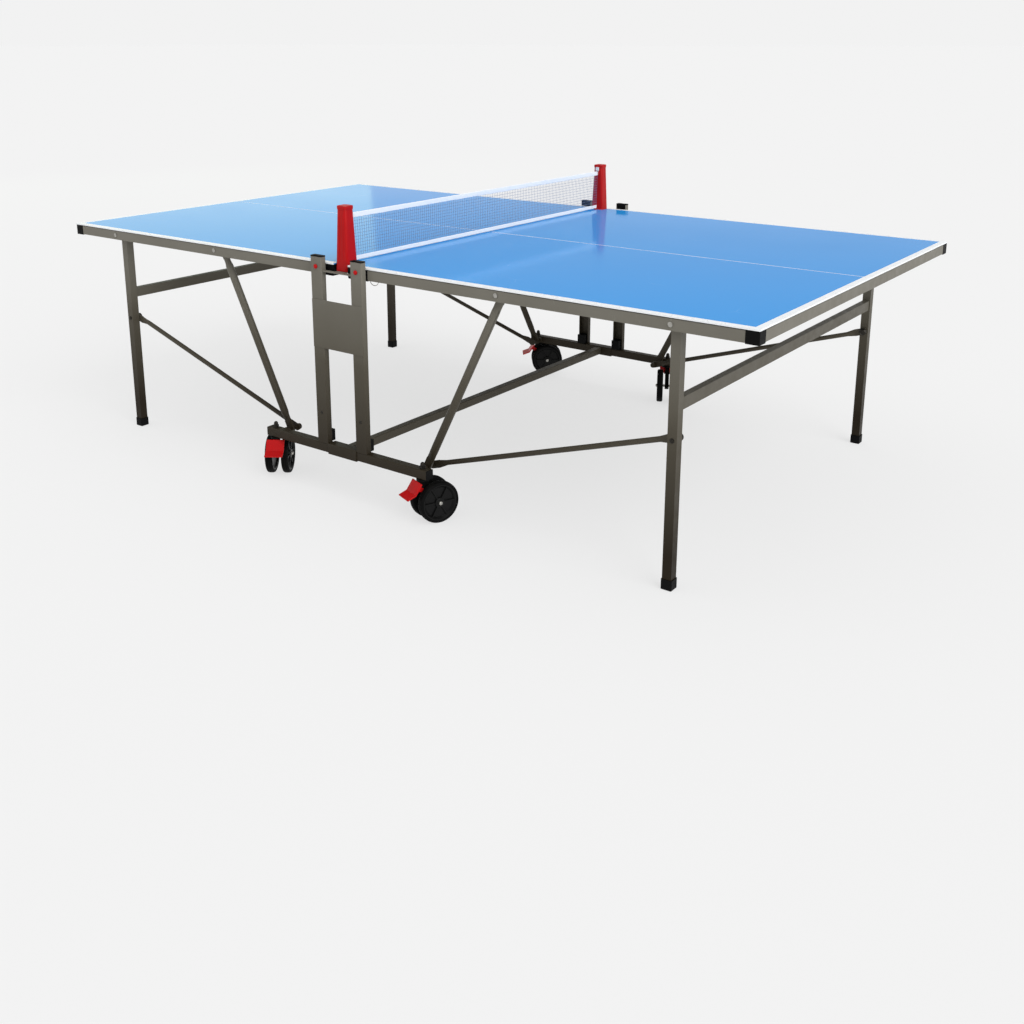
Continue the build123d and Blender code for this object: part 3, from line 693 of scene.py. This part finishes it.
def studio_floor():
    """Wide pale floor, part lit and part glowing, so that it meets the background's tone."""
    bm = bmesh.new()
    bmesh.ops.create_grid(bm, x_segments=2, y_segments=2, size=400)
    bmesh.ops.translate(bm, verts=bm.verts, vec=(0, 0, -0.0005))
    mesh = bpy.data.meshes.new("floor")
    bm.to_mesh(mesh)
    bm.free()
    paint = bpy.data.materials.new("floor_paint")
    paint.use_nodes = True
    tree = paint.node_tree
    tree.nodes.clear()
    glow = tree.nodes.new("ShaderNodeEmission")
    glow.inputs["Color"].default_value = (BACKGROUND, BACKGROUND, BACKGROUND, 1)
    matt = tree.nodes.new("ShaderNodeBsdfDiffuse")
    matt.inputs["Color"].default_value = (0.775, 0.775, 0.775, 1)
    mixed = tree.nodes.new("ShaderNodeMixShader")
    mixed.inputs["Fac"].default_value = 0.25
    surface = tree.nodes.new("ShaderNodeOutputMaterial")
    tree.links.new(glow.outputs[0], mixed.inputs[1])
    tree.links.new(matt.outputs[0], mixed.inputs[2])
    tree.links.new(mixed.outputs[0], surface.inputs["Surface"])
    mesh.materials.append(paint)
    floor = bpy.data.objects.new("floor", mesh)
    collection.objects.link(floor)


def studio_world():
    """Background tone at the horizon, a darker band above it, and a bright ceiling."""
    world = bpy.data.worlds.new("studio")
    bpy.context.scene.world = world
    world.use_nodes = True
    tree = world.node_tree
    sky = tree.nodes["Background"]
    sky.inputs["Strength"].default_value = 1.0
    direction = tree.nodes.new("ShaderNodeTexCoord")
    split = tree.nodes.new("ShaderNodeSeparateXYZ")
    ramp = tree.nodes.new("ShaderNodeValToRGB")
    ramp.color_ramp.interpolation = "EASE"
    tones = [(0.0, BACKGROUND), (0.095, BACKGROUND), (0.17, 0.50), (0.30, 0.42), (0.60, 0.60), (0.85, 1.0)]
    for i, (height, tone) in enumerate(tones):
        stop = ramp.color_ramp.elements[i] if i < 2 else ramp.color_ramp.elements.new(height)
        stop.position = height
        stop.color = (tone, tone, tone, 1)
    tree.links.new(direction.outputs["Generated"], split.inputs[0])
    tree.links.new(split.outputs["Z"], ramp.inputs["Fac"])
    tree.links.new(ramp.outputs["Color"], sky.inputs["Color"])


def lamp(name, kind, energy, towards):
    """Light that shines towards a direction."""
    made = bpy.data.objects.new(name, bpy.data.lights.new(name, kind))
    made.data.energy = energy
    made.rotation_mode = "QUATERNION"
    made.rotation_quaternion = Vector(towards).to_track_quat("-Z", "Y")
    collection.objects.link(made)
    return made


def studio_lights():
    """A wide key and fill, and a long low softbox that the left half of the top reflects."""
    key = lamp("key", "SUN", 2.1, (-0.85, 0.25, -0.60))
    key.data.angle = math.radians(50)
    fill = lamp("fill", "SUN", 0.4, (0.7, 0.5, -0.35))
    fill.data.angle = math.radians(70)
    softbox = lamp("softbox", "AREA", 19, (8.7, -4.3, -1.7))
    softbox.location = (-8.7, 4.3, 2.5)
    softbox.visible_camera = False
    softbox.data.shape = "RECTANGLE"
    softbox.data.size, softbox.data.size_y = 6.5, 1.8
    softbox.data.color = (0.75, 1.0, 0.62)


def studio_camera():
    """The photograph's view from the front right, with its framing as the lens shift."""
    azimuth, pitch = math.radians(36.501), math.radians(14.63)
    data = bpy.data.cameras.new("camera")
    data.sensor_width = 36
    data.lens = 39.9445
    data.shift_x, data.shift_y = 0.01084, -0.16973
    data.clip_end = 2000
    camera = bpy.data.objects.new("camera", data)
    camera.location = (2.4235, -3.2147, 1.418)
    camera.rotation_euler = (math.pi / 2 - pitch, 0, azimuth)
    collection.objects.link(camera)
    bpy.context.scene.camera = camera


studio_floor()
studio_world()
studio_lights()
studio_camera()
bpy.context.scene.view_settings.view_transform = "Standard"
